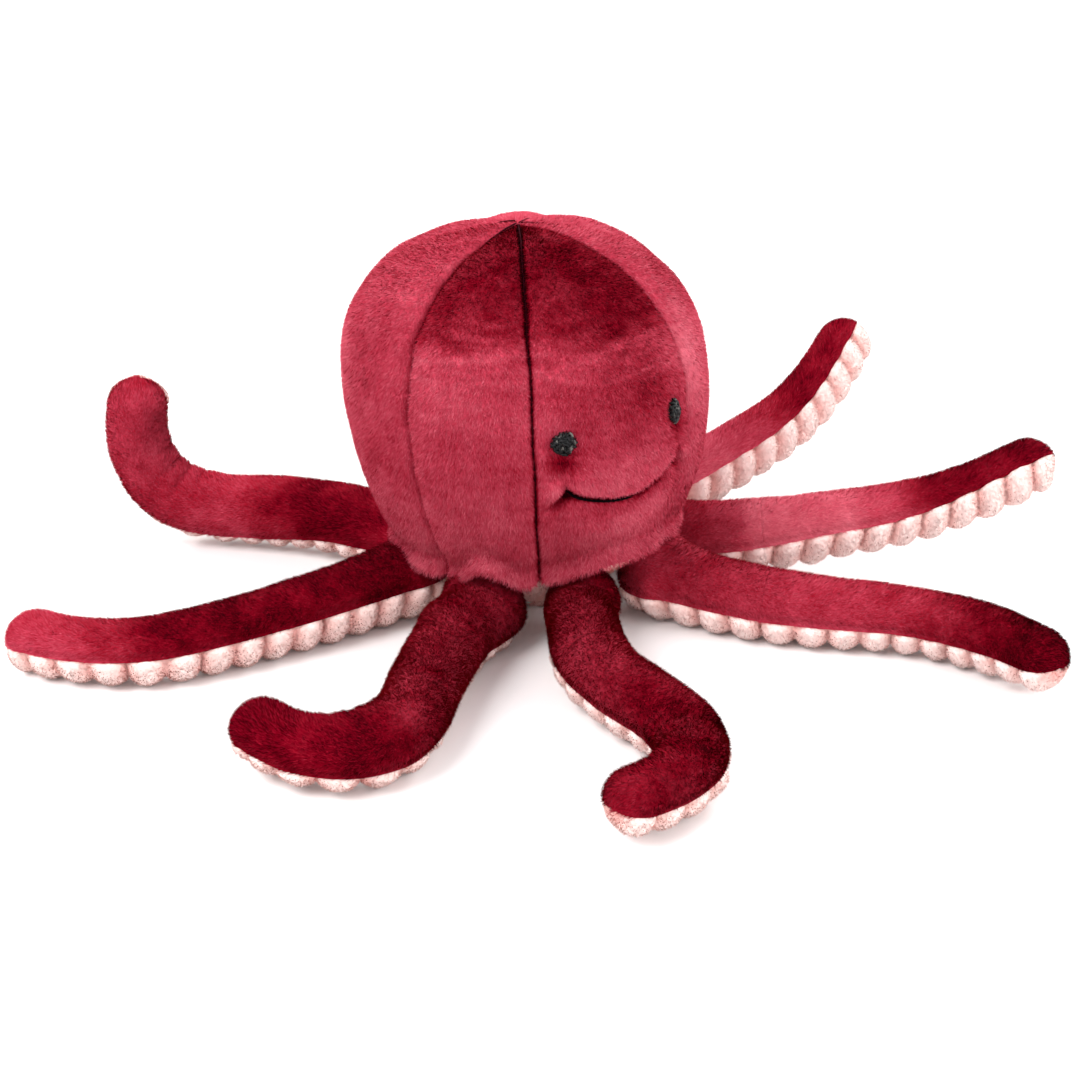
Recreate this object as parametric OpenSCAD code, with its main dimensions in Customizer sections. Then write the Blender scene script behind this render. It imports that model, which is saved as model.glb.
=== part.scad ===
// Sewn plush octopus: a stuffed head of seven fabric gores over a round base panel, and eight
// stuffed tentacles. Each tentacle is a plush top and a ribbed underside sewn round its stuffing.
// It hinges at the seam that joins it to the head, and flexes halfway along.
// The origin is the centre of the base on the floor, +Z is up and the face looks towards -Y.
// Directions round the head are in degrees from the face, positive towards +X.

/* [Head] */
// Widest diameter of the head
head_d = 125; // [120:1:130]
// Height of the crown above the floor
head_h = 135; // [130:1:140]
// Height of the widest level of the head
widest_h = 81; // [77:1:84]
// Diameter at the hem, the lower edge of the head's plush
hem_d = 91; // [90:0.5:92]
// Height of the hem above the floor
hem_h = 25.5; // [25:0.5:27]
// Thickness of the fabric with its backing
fabric_t = 1.8; // [1.2:0.1:2]
// Width of the face panel round the head, in degrees
face_width = 60; // [52:1:66]
// Width of each side panel round the head, in degrees
side_width = 42; // [38:1:46]
// Width of each rear side panel round the head, in degrees
rear_side_width = 54; // [50:1:58]

/* [Face] */
// Diameter of an embroidered eye
eye_d = 9; // [7:0.5:11]
// Height of the eyes above the floor
eye_h = 80; // [76:1:86]
// Angle from the middle of the face to each eye
eye_angle = 20; // [16:1:24]
// How far the eye's knotted thread stands out
eye_proud = 1.5; // [1:0.1:2]
// Height of the middle of the smile above the floor
smile_h = 56; // [52:1:60]
// How much higher the ends of the smile are
smile_rise = 6.5; // [3:0.5:9]
// Angle from the middle of the face to each end of the smile
smile_angle = 20; // [16:1:24]
// Thickness of the smile's thread
smile_d = 2; // [1.4:0.2:2.4]

/* [Base] */
// Radius of the flat that the toy rests on
flat_r = 16; // [12:1:22]
// Radius of the base panel where it has curved up to a wall
base_r = 38; // [37:0.5:38.5]

/* [Tentacles] */
// Diameter of a tentacle at its root
arm_d = 26.2; // [25:0.1:26.4]
// Diameter of a tentacle's round end
tip_d = 20; // [19:0.1:21]
// Length from the root hinge to the centre of the round end
arm_len = 130; // [122:1:138]
// Distance of the root hinges from the head's axis
root_r = 53; // [52.8:0.1:55]
// Direction of the first tentacle from the face
first_angle = -9.5; // [-12:0.5:-7]

/* [Hidden] */
$fn = 96;
arm_count = 8;
arm_r = arm_d / 2;
half_len = arm_len / 2;
head_r = head_d / 2;
hem_r = hem_d / 2;
sewing_gap = 0.1;                       // between a skin and the stuffing inside it
lining = fabric_t + sewing_gap;         // from a tentacle's outside to its stuffing
base_wall_h = hem_h - 10;               // where the base panel has curved up to a wall
skin_start = 0.2;                       // where a skin starts after its hinge
skin_end = half_len - 8.2;              // where the inner skins stop, clear of the outer half's ball
stuffing_end = half_len - arm_r - 0.4;  // where the inner stuffing stops, for the same reason

// How each tentacle lies: [turn from straight out, rise above the floor, roll of its seams], each in
// degrees at its root, middle and end, then how much thicker than tip_d / 2 its end is, and how many
// degrees its root is from an even spacing.
lie = [
    [[-24, 20, -70], [2, -3, 4], [6, 6, 0], 0, -4],
    [[-12, 13, -36], [-1, -1, 3], [0, 0, 0], 0, 0],
    [[-36, -23, -27], [5, 10, 30], [8, -14, -36], 0, 0],
    [[-46, -39, -18], [0, 19, 40], [-10, -32, -60], 0.5, 0],
    [[-8, -14, 8], [-1, -1, -1], [0, 0, 0], 0, 0],
    [[-8, 12, 32], [5, -3, 98], [-8, -40, -95], 1.4, 0],
    [[18, 9, -49], [-1, -1, -1], [14, 14, 8], 0, 0],
    [[7, 16, -113], [-1, 0, 0], [-22, -22, -10], 0, -2]
];

path_steps = 130;                       // short steps that trace a centre line
path_step = arm_len / path_steps;
ring_gap = half_len / 6;                // between the rings of a tentacle's mesh
half_sides = 8;                         // flats round half a tentacle
cap_angles = [22.5, 45, 67.5];          // rings of a round end
profile_steps = 12;                     // chords in each half of the head's outline
smile_steps = 20;

plush = "#8f1c38";
corduroy = "#e6bcb8";
filling = "#f2efe8";
thread = "#232328";

// ---- The head's outline ----

function bezier(p, t) =
    pow(1 - t, 3) * p[0] + 3 * t * pow(1 - t, 2) * p[1]
    + 3 * t * t * (1 - t) * p[2] + pow(t, 3) * p[3];
function bezier_slope(p, t) =
    pow(1 - t, 2) * (p[1] - p[0]) + 2 * t * (1 - t) * (p[2] - p[1]) + t * t * (p[3] - p[2]);

// From the hem up to the widest level, and from there to the crown, as [radius, height]
lower_curve = [[hem_r, hem_h], [hem_r + 8.5, hem_h + 16.5], [head_r, widest_h - 17], [head_r, widest_h]];
upper_curve = [[head_r, widest_h], [head_r, widest_h + 0.57 * (head_h - widest_h)],
               [0.57 * head_r, head_h], [0, head_h]];

// A point of a curve, moved inwards by a depth
function inset_point(p, t, depth) =
    let (slope = bezier_slope(p, t), q = bezier(p, t) - depth * [slope[1], -slope[0]] / norm(slope))
    [max(0, q[0]), q[1]];
function head_outline(depth) = concat(
    [for (i = [0:profile_steps]) inset_point(lower_curve, i / profile_steps, depth)],
    [for (i = [1:profile_steps]) inset_point(upper_curve, i / profile_steps, depth)]
);
function backwards(list) = [for (i = [len(list) - 1:-1:0]) list[i]];

// The base panel's outline from the middle of the flat up to the hem, moved inwards by a depth
function base_outline(depth) = concat(
    [[0, depth]],
    [for (a = [0:15:90])
        [flat_r + (base_r - flat_r - depth) * sin(a), base_wall_h - (base_wall_h - depth) * cos(a)]],
    [[hem_r - 2 - 1.1 * depth, hem_h]]
);

// ---- The tentacles' centre lines ----

function ease(x) = let (t = min(1, max(0, x))) t * t * (3 - 2 * t);
// A value at distance s, from its values at the root, the middle and the end
function along(values, s) = s < half_len
    ? values[0] + (values[1] - values[0]) * ease(s / half_len)
    : values[1] + (values[2] - values[1]) * ease(s / half_len - 1);
function root_angle(k) = first_angle + (k - 1) * 360 / arm_count + lie[k - 1][4];
function heading(k, s) = root_angle(k) + along(lie[k - 1][0], s);
function rise(k, s) = along(lie[k - 1][1], s);
function roll(k, s) = along(lie[k - 1][2], s);

// Unit vectors at distance s: along the tentacle, up from it, and across it
function forward(k, s) =
    let (h = heading(k, s), p = rise(k, s)) [sin(h) * cos(p), -cos(h) * cos(p), sin(p)];
function upward(k, s) =
    let (h = heading(k, s), p = rise(k, s)) [-sin(h) * sin(p), cos(h) * sin(p), cos(p)];
function across(k, s) = cross(forward(k, s), upward(k, s));

// The radius falls evenly from the root to the round end
function arm_radius(k, s) =
    let (end_r = tip_d / 2 + lie[k - 1][3]) arm_r + (end_r - arm_r) * min(1, max(0, s / arm_len));

function root_hinge(k) = [root_r * sin(root_angle(k)), -root_r * cos(root_angle(k)), arm_r];
function path(k) = [
    for (i = 0, p = root_hinge(k); i <= path_steps;
         p = p + path_step * forward(k, (i + 0.5) * path_step), i = i + 1) p
];
paths = [for (k = [1:arm_count]) path(k)];
function centre(k, s) =
    let (i = min(path_steps - 1, max(0, floor(s / path_step))), f = s / path_step - i)
    paths[k - 1][i] * (1 - f) + paths[k - 1][i + 1] * f;

// A point on tentacle k: advance is measured straight on from the ring at s, and the angle
// runs round the tentacle from the middle of its top
function skin_point(k, s, advance, radius, angle) =
    let (a = angle + roll(k, s))
    centre(k, s) + advance * forward(k, s)
    + radius * (cos(a) * upward(k, s) + sin(a) * across(k, s));

// Distances of the rings between two ends
function rings_between(s0, s1) = concat(
    [s0],
    [for (j = [0:12]) if (j * ring_gap > s0 + 2 && j * ring_gap < s1 - 2) j * ring_gap],
    [s1]
);

// ---- Meshes ----

function quad(a, b, c, d) = [[a, b, c], [a, c, d]];

// A solid tube through stations of [distance, advance, radius], closed at a point [distance, advance]
// at each end
module solid_tube(k, first_pole, stations, last_pole) {
    sides = 2 * half_sides;
    count = len(stations);
    points = concat(
        [for (st = stations) for (i = [0:sides - 1]) skin_point(k, st[0], st[1], st[2], i * 360 / sides)],
        [skin_point(k, first_pole[0], first_pole[1], 0, 0), skin_point(k, last_pole[0], last_pole[1], 0, 0)]
    );
    first = sides * count;
    last = first + 1;
    end_ring = sides * (count - 1);
    faces = concat(
        [for (j = [0:count - 2]) for (i = [0:sides - 1])
            each quad(j * sides + i, j * sides + (i + 1) % sides,
                      (j + 1) * sides + (i + 1) % sides, (j + 1) * sides + i)],
        [for (i = [0:sides - 1]) [(i + 1) % sides, i, first]],
        [for (i = [0:sides - 1]) [end_ring + i, end_ring + (i + 1) % sides, last]]
    );
    polyhedron(points, faces);
}

// Half a hollow tube from s0 to s1, on the side that starts at an angle. With a tip it goes on into
// a quarter of a hollow ball.
module half_skin(k, s0, s1, start_angle, tip) {
    end_r = arm_radius(k, s1);
    side = 2 * (half_sides + 1);        // points of one ring: out along the outside, back along the inside
    function outside(i) = i <= half_sides;
    function turn(i) = start_angle + 180 / half_sides * (outside(i) ? i : side - 1 - i);
    function wall(i, s) = arm_radius(k, s) - (outside(i) ? 0 : fabric_t);
    stations = concat(
        [for (s = rings_between(s0, s1)) [s, 0]],
        [if (tip) for (a = cap_angles) [s1, a]]
    );
    count = len(stations);
    end_ring = side * (count - 1);
    points = concat(
        [for (st = stations) for (i = [0:side - 1])
            skin_point(k, st[0], wall(i, st[0]) * sin(st[1]), wall(i, st[0]) * cos(st[1]), turn(i))],
        [skin_point(k, s1, end_r, 0, 0), skin_point(k, s1, end_r - fabric_t, 0, 0)]
    );
    function pole(i) = side * count + (outside(i) ? 0 : 1);
    // Where the tentacle twists, both sides of a seam or wall must fold along the same diagonals
    function wall_quad(a, b, c, d, i) = outside(i) ? quad(a, b, c, d) : quad(b, c, d, a);
    faces = concat(
        [for (j = [0:count - 2]) for (i = [0:side - 1])
            each wall_quad(j * side + i, j * side + (i + 1) % side,
                           (j + 1) * side + (i + 1) % side, (j + 1) * side + i, i)],
        [for (i = [0:half_sides - 1]) each quad(i, side - 1 - i, side - 2 - i, i + 1)],
        [for (i = [0:side - 1]) let (n = (i + 1) % side)
            if (tip) each (pole(i) == pole(n)
                ? [[end_ring + i, end_ring + n, pole(i)]]
                : quad(end_ring + i, end_ring + n, pole(n), pole(i)))],
        [for (i = [0:half_sides - 1])
            let (a = end_ring + i, b = end_ring + side - 1 - i)
            if (!tip) each quad(a, a + 1, b - 1, b)]
    );
    polyhedron(tip ? points : [for (i = [0:side * count - 1]) points[i]], faces);
}

// ---- The head's pieces ----

module revolved(outline) {
    rotate_extrude() polygon(outline);
}

// The solid inside the head's outline, moved inwards by a depth
module head_solid(depth) {
    outline = head_outline(depth);
    revolved(concat([[0, outline[0][1]]], outline));
}

// One gore from an angle, going round towards +X
module head_panel(start, width) {
    color(plush)
        rotate([0, 0, start - 90])
            rotate_extrude(angle = width)
                polygon(concat(head_outline(0), backwards(head_outline(fabric_t))));
}

side_start = face_width / 2;
rear_start = side_start + side_width;
back_start = rear_start + rear_side_width;
back_width = 180 - back_start;

module head_face_panel() { head_panel(-side_start, face_width); }
module head_side_panel_left() { head_panel(-rear_start, side_width); }
module head_side_panel_right() { head_panel(side_start, side_width); }
module head_rear_side_panel_left() { head_panel(-back_start, rear_side_width); }
module head_rear_side_panel_right() { head_panel(rear_start, rear_side_width); }
module head_back_panel_left() { head_panel(-180, back_width); }
module head_back_panel_right() { head_panel(back_start, back_width); }

module head_base_panel() {
    color(corduroy) revolved(concat(base_outline(0), backwards(base_outline(fabric_t))));
}

module head_stuffing() {
    depth = fabric_t + sewing_gap;
    color(filling) revolved(concat(base_outline(depth), head_outline(depth)));
}

// An eye is a disc of knotted thread that follows the curve of the face panel
module eye(angle) {
    color(thread)
        difference() {
            intersection() {
                rotate([0, 0, angle])
                    translate([0, -head_r / 2, eye_h])
                        rotate([90, 0, 0])
                            cylinder(d = eye_d, h = head_r);
                head_solid(-eye_proud);
            }
            head_solid(0);
        }
}
module eye_left() { eye(-eye_angle); }
module eye_right() { eye(eye_angle); }

// The smile is a thick thread laid on the face panel
module smile_thread() {
    sides = 8;
    thread_r = smile_d / 2;
    outline = [for (p = head_outline(0)) [p[1], p[0]]];
    function smile_point(a, i) =
        let (z = smile_h + smile_rise * pow(a / smile_angle, 2),
             r = lookup(z, outline) + 1.15 * thread_r + thread_r * cos(i * 360 / sides))
        [r * sin(a), -r * cos(a), z + thread_r * sin(i * 360 / sides)];
    points = [for (j = [0:smile_steps]) for (i = [0:sides - 1])
        smile_point(smile_angle * (2 * j / smile_steps - 1), i)];
    color(thread)
        polyhedron(points, concat(
            [for (j = [0:smile_steps - 1]) for (i = [0:sides - 1])
                each quad(j * sides + i, (j + 1) * sides + i,
                          (j + 1) * sides + (i + 1) % sides, j * sides + (i + 1) % sides)],
            [[for (i = [0:sides - 1]) i]],
            [[for (i = [0:sides - 1]) sides * smile_steps + sides - 1 - i]]
        ));
}

// ---- The tentacles' pieces ----

// A ball of stuffing fills the fabric at a hinge, then the tube of stuffing starts
function ball_stations(k, s) = concat(
    [for (a = backwards(cap_angles)) [s, -arm_radius(k, s) * sin(a), arm_radius(k, s) * cos(a)]],
    [[s, 0, arm_radius(k, s)]]
);
function tube_stations(k, s0, s1) = [for (s = rings_between(s0, s1)) [s, 0, arm_radius(k, s) - lining]];

module tentacle_inner_top(k) {
    color(plush) half_skin(k, skin_start, skin_end, -90, false);
}
module tentacle_inner_underside(k) {
    color(corduroy) half_skin(k, skin_start, skin_end, 90, false);
}
module tentacle_inner_stuffing(k) {
    color(filling)
        solid_tube(k, [0, -arm_r], concat(ball_stations(k, 0), tube_stations(k, 0, stuffing_end)),
                   [stuffing_end, 0]);
}
module tentacle_outer_top(k) {
    color(plush) half_skin(k, half_len + skin_start, arm_len, -90, true);
}
module tentacle_outer_underside(k) {
    color(corduroy) half_skin(k, half_len + skin_start, arm_len, 90, true);
}
module tentacle_outer_stuffing(k) {
    end_r = arm_radius(k, arm_len) - lining;
    color(filling)
        solid_tube(k, [half_len, -arm_radius(k, half_len)],
                   concat(ball_stations(k, half_len), tube_stations(k, half_len, arm_len),
                          [for (a = cap_angles) [arm_len, end_r * sin(a), end_r * cos(a)]]),
                   [arm_len, end_r]);
}

// ---- Drawing ----

head_face_panel();
head_side_panel_left();
head_side_panel_right();
head_rear_side_panel_left();
head_rear_side_panel_right();
head_back_panel_left();
head_back_panel_right();
head_base_panel();
head_stuffing();
eye_left();
eye_right();
smile_thread();
for (k = [1:arm_count]) {
    tentacle_inner_top(k);
    tentacle_inner_underside(k);
    tentacle_inner_stuffing(k);
    tentacle_outer_top(k);
    tentacle_outer_underside(k);
    tentacle_outer_stuffing(k);
}
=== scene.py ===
"""Sewn plush octopus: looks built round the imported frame.

Lengths are in millimetres in the frame's axes until a mesh is made, which turns them into metres.
Directions round the head are in degrees from the face (-Y), positive towards +X.
"""

import math

import bpy
import numpy as np
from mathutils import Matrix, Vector


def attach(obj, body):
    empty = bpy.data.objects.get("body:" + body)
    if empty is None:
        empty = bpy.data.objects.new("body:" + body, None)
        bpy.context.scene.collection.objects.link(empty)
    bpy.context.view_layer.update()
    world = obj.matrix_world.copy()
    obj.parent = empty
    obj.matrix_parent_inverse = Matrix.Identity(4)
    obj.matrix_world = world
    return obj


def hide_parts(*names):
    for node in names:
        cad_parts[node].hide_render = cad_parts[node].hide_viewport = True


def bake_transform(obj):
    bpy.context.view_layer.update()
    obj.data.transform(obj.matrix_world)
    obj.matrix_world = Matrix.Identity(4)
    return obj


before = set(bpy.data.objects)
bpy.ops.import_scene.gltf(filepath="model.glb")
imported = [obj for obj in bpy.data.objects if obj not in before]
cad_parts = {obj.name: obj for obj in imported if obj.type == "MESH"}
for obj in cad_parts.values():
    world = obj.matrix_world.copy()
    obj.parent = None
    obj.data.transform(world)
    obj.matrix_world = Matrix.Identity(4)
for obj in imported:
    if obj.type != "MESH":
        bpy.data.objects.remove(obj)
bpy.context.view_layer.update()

MM = 0.001

# ---- Small maths ----


def unit(v):
    return v / np.maximum(np.linalg.norm(v, axis=-1, keepdims=True), 1e-9)


def ease(x):
    t = np.clip(x, 0, 1)
    return t * t * (3 - 2 * t)


def hill(x, middle, width):
    """A smooth hill of height 1, gone about two widths from its middle."""
    return np.exp(-(((x - middle) / width) ** 2))


def lumps(points, size, seed):
    """Smooth noise from -1 to 1, with lumps of about that size (one number, or one for each axis)."""
    table = np.random.default_rng(seed).uniform(-1, 1, (16, 16, 16))
    q = np.asarray(points, float) / size + 0.37 * seed
    i = np.floor(q).astype(int)
    f = q - i
    f = f * f * (3 - 2 * f)
    total = 0
    for corner in range(8):
        pick = [(corner >> axis) & 1 for axis in range(3)]
        weight = 1
        for axis in range(3):
            weight = weight * (f[..., axis] if pick[axis] else 1 - f[..., axis])
        total = total + weight * table[tuple((i[..., axis] + pick[axis]) % 16 for axis in range(3))]
    return total


def direction(angle):
    """Unit vector away from the head's axis, at an angle round the head."""
    a = np.radians(angle)
    return np.stack([np.sin(a), -np.cos(a), np.zeros_like(a)], -1)


# ---- Materials ----


def colour(red, green, blue):
    """A colour as it looks on screen, 0 to 255, as linear red, green, blue and alpha."""
    parts = [c / 255 for c in (red, green, blue)]
    linear = [c / 12.92 if c <= 0.04045 else ((c + 0.055) / 1.055) ** 2.4 for c in parts]
    return (*linear, 1.0)


def mix(a, b, share):
    return tuple(x * (1 - share) + y * share for x, y in zip(a, b))


def new_material(name, base, roughness, sheen=0.0, sheen_tint=(1, 1, 1, 1), specular=0.3):
    material = bpy.data.materials.new(name)
    material.use_nodes = True
    shader = material.node_tree.nodes["Principled BSDF"]
    shader.inputs["Base Color"].default_value = base
    shader.inputs["Roughness"].default_value = roughness
    shader.inputs["Specular IOR Level"].default_value = specular
    shader.inputs["Sheen Weight"].default_value = sheen
    shader.inputs["Sheen Roughness"].default_value = 0.45
    shader.inputs["Sheen Tint"].default_value = sheen_tint
    return material


def add_noise(tree, scale, detail):
    """A noise texture in the piece's own metres."""
    place = tree.nodes.new("ShaderNodeTexCoord")
    texture = tree.nodes.new("ShaderNodeTexNoise")
    texture.inputs["Scale"].default_value = scale
    texture.inputs["Detail"].default_value = detail
    tree.links.new(place.outputs["Object"], texture.inputs["Vector"])
    return texture.outputs["Fac"]


def add_ramp(tree, value, stops):
    ramp = tree.nodes.new("ShaderNodeValToRGB")
    elements = ramp.color_ramp.elements
    while len(elements) < len(stops):
        elements.new(0.5)
    for element, (place, shade) in zip(elements, stops):
        element.position = place
        element.color = shade
    tree.links.new(value, ramp.inputs["Fac"])
    return ramp.outputs["Color"]


def add_bump(tree, value, strength, distance):
    node = tree.nodes.new("ShaderNodeBump")
    node.inputs["Strength"].default_value = strength
    node.inputs["Distance"].default_value = distance
    tree.links.new(value, node.inputs["Height"])
    tree.links.new(node.outputs["Normal"], tree.nodes["Principled BSDF"].inputs["Normal"])


def patterned(name, stops, scale, roughness, bump_scale, bump_distance, **finish):
    """A cloth whose colour wanders between the stops, with a fine relief."""
    material = new_material(name, stops[0][1], roughness, **finish)
    tree = material.node_tree
    shader = tree.nodes["Principled BSDF"]
    tone = add_noise(tree, scale, 6)
    tree.links.new(add_ramp(tree, tone, stops), shader.inputs["Base Color"])
    add_bump(tree, add_noise(tree, bump_scale, 4), 0.8, bump_distance)
    return material


def follow_pile(material):
    """Adds the pile's shade at each place, its painted light and painted shade included, to the noise that a
    patterned cloth is coloured by.
    """
    tree = material.node_tree
    ramp = next(node for node in tree.nodes if node.bl_idname == "ShaderNodeValToRGB")
    noise = ramp.inputs["Fac"].links[0].from_socket
    shade = tree.nodes.new("ShaderNodeAttribute")
    shade.attribute_name = "pile_shade"
    total = tree.nodes.new("ShaderNodeMath")
    total.operation = "MULTIPLY_ADD"
    total.inputs[1].default_value = 0.25
    tree.links.new(noise, total.inputs[0])
    tree.links.new(shade.outputs["Fac"], total.inputs[2])
    tree.links.new(total.outputs["Value"], ramp.inputs["Fac"])
    return material


# The first plush colour is painted shadow, for the pile in creases, under the lip, under the eyes and in the
# seams' grooves
PLUSH_PAINTED_SHADOW = colour(56, 0, 8)
PLUSH_DARK = colour(116, 0, 20)
PLUSH_LOW = colour(159, 20, 41)
PLUSH_MID = colour(194, 62, 83)
PLUSH_HIGH = colour(218, 96, 114)
PLUSH_LIGHT = colour(242, 130, 147)
SHEEN_PINK = colour(255, 90, 110)
# The first pink is painted shade, for the deepest grooves between the ribs
PINK_PAINTED_SHADE = colour(230, 158, 150)
PINK_DARK = colour(244, 180, 173)
PINK_MID = colour(253, 210, 203)
PINK_LIGHT = colour(255, 231, 226)

plush_backing = follow_pile(patterned(
    "plush_backing",
    [(0.02, PLUSH_PAINTED_SHADOW), (0.16, PLUSH_DARK), (0.68, PLUSH_MID), (1.0, mix(PLUSH_MID, PLUSH_LIGHT, 0.75))],
    scale=400, roughness=0.85, bump_scale=900, bump_distance=0.0004, specular=0.03,
))
corduroy_backing = follow_pile(patterned(
    "corduroy_backing",
    [(0.05, PINK_PAINTED_SHADE), (0.25, PINK_DARK), (0.6, PINK_MID), (1.0, PINK_LIGHT)],
    scale=500, roughness=0.85, bump_scale=1100, bump_distance=0.0005, sheen=0.08, specular=0.04,
))
seam_thread = patterned(
    "seam_thread", [(0.35, colour(30, 0, 6)), (0.65, colour(58, 2, 14))],
    scale=1200, roughness=0.9, bump_scale=2600, bump_distance=0.0002, specular=0.05,
)
# the third thread, grey, is painted glint: its loops stand for highlights on the black thread
eye_threads_and_glints = [
    patterned(f"eye_thread_{i}", [(0.35, colour(*dark)), (0.65, colour(*light))],
              scale=900, roughness=0.5, bump_scale=4200, bump_distance=0.0002, specular=0.25)
    for i, (dark, light) in enumerate([((0, 0, 0), (6, 6, 8)), ((6, 6, 8), (26, 26, 28)),
                                       ((38, 38, 40), (112, 108, 102))])
]
smile_black = patterned(
    "smile_thread", [(0.35, colour(4, 2, 4)), (0.65, colour(20, 10, 14))],
    scale=1200, roughness=0.95, bump_scale=2600, bump_distance=0.0002, specular=0.02,
)
stuffing_fibre = patterned(
    "stuffing_fibre", [(0.3, colour(214, 210, 202)), (0.7, colour(246, 244, 240))],
    scale=180, roughness=0.9, bump_scale=800, bump_distance=0.0008,
)

SHADES = 9


def fibres(name, deep, tones, roughness, sheen, sheen_tint):
    """Materials for blades of pile: one of painted shadow for deep creases, then SHADES through evenly
    spaced tones, which carry painted light and shade as well as the pile's own mottle.
    """
    shades = [new_material(f"{name}_deep", deep, roughness, specular=0.0)]
    for i, x in enumerate(np.linspace(0, 1, SHADES)):
        at = x * (len(tones) - 1)
        i0 = min(int(at), len(tones) - 2)
        base = mix(tones[i0], tones[i0 + 1], at - i0)
        finish = {"sheen": sheen * (0.2 + 0.8 * x), "sheen_tint": sheen_tint, "specular": 0.01 + 0.05 * x}
        shades.append(new_material(f"{name}_{i}", base, roughness, **finish))
    return shades


plush_tones = [PLUSH_DARK, PLUSH_LOW, PLUSH_MID, PLUSH_HIGH, PLUSH_LIGHT]
plush_fibres = fibres(
    "plush_fibre", PLUSH_PAINTED_SHADOW, plush_tones, roughness=0.65, sheen=0.07, sheen_tint=SHEEN_PINK)
pink_fibres = fibres(
    "pink_fibre", PINK_PAINTED_SHADE, [PINK_DARK, PINK_MID, PINK_LIGHT],
    roughness=0.8, sheen=0.15, sheen_tint=PINK_LIGHT)

# ---- Meshes ----


def make_piece(name, points, corners, materials, face_material=None):
    """A mesh object from points in millimetres and faces with the same number of corners each."""
    corners = np.asarray(corners)
    mesh = bpy.data.meshes.new(name)
    mesh.vertices.add(len(points))
    mesh.vertices.foreach_set("co", (np.asarray(points, float) * MM).astype(np.float32).ravel())
    mesh.loops.add(corners.size)
    mesh.loops.foreach_set("vertex_index", corners.astype(np.int32).ravel())
    mesh.polygons.add(len(corners))
    starts = np.arange(0, corners.size, corners.shape[1], dtype=np.int32)
    mesh.polygons.foreach_set("loop_start", starts)
    for material in materials:
        mesh.materials.append(material)
    if face_material is not None:
        mesh.polygons.foreach_set("material_index", np.asarray(face_material, np.int32))
    mesh.polygons.foreach_set("use_smooth", np.ones(len(corners), bool))
    mesh.update(calc_edges=True)
    piece = bpy.data.objects.new(name, mesh)
    bpy.context.scene.collection.objects.link(piece)
    return piece


def grid_faces(rows, columns, first=0):
    """Four-cornered faces between the neighbours of a grid whose points are numbered row by row."""
    i, j = np.meshgrid(np.arange(rows - 1), np.arange(columns - 1), indexing="ij")
    a = (first + i * columns + j).ravel()
    return np.stack([a, a + 1, a + columns + 1, a + columns], -1)


class Patch:
    """One panel of fabric: a grid of points, with its outward normals, the way its pile lies, the shade of
    its pile from 0, dark, to 1, light, with painted light and painted shade in it, and the pile's length."""

    def __init__(self, points, inside, nap, shade=0.5, pile=3.0):
        self.points = points
        along = np.gradient(points, axis=0)
        across = np.gradient(points, axis=1)
        normal = unit(np.cross(along, across))
        away = points - inside
        flip = np.sign((normal * away).sum(-1, keepdims=True).mean())
        self.flipped = flip < 0
        self.normal = normal * flip
        nap = nap - (nap * self.normal).sum(-1, keepdims=True) * self.normal
        self.nap = unit(nap)
        self.shade = np.broadcast_to(shade, points.shape[:2]).astype(float)
        self.pile = np.broadcast_to(pile, points.shape[:2]).astype(float)

    def shell(self, name, material, thickness):
        """The panel as a closed shell of cloth."""
        rows, columns = self.points.shape[:2]
        outside = self.points.reshape(-1, 3)
        inside = (self.points - thickness * self.normal).reshape(-1, 3)
        count = rows * columns
        front = grid_faces(rows, columns)
        back = grid_faces(rows, columns, count)
        number = np.arange(count).reshape(rows, columns)
        rim = np.concatenate(
            [number[0, :], number[1:, -1], number[-1, -2::-1], number[-2:0:-1, 0]]
        )
        after = np.roll(rim, -1)
        side = np.stack([rim, after, after + count, rim + count], -1)
        if self.flipped:
            front = front[:, ::-1]
        else:
            back = back[:, ::-1]
            side = side[:, ::-1]
        points = np.concatenate([outside, inside])
        corners = np.concatenate([front, back, side])
        piece = make_piece(name, points, corners, [material])
        # the pile's shade, painted light and painted shade included, goes on the backing too
        layer = piece.data.attributes.new("pile_shade", "FLOAT", "POINT")
        layer.data.foreach_set("value", np.tile(self.shade.ravel(), 2).astype(np.float32))
        return piece

    def scatter(self, per_mm2, rng):
        """Random places on the panel, evenly by area, as grid positions."""
        p = self.points
        cell = np.linalg.norm(np.cross(p[1:, :-1] - p[:-1, :-1], p[:-1, 1:] - p[:-1, :-1]), axis=-1)
        total = cell.sum()
        count = int(total * per_mm2)
        pick = np.searchsorted(np.cumsum(cell.ravel()), rng.uniform(0, total, count))
        pick = np.minimum(pick, cell.size - 1)
        i, j = np.unravel_index(pick, cell.shape)
        return i, j, rng.uniform(0, 1, count), rng.uniform(0, 1, count)

    def sample(self, field, place):
        """A grid's values at places between its points."""
        i, j, u, v = place
        if field.ndim == 3:
            u, v = u[:, None], v[:, None]
        top = field[i, j] * (1 - v) + field[i, j + 1] * v
        return top * (1 - u) + (field[i + 1, j] * (1 - v) + field[i + 1, j + 1] * v) * u


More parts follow.
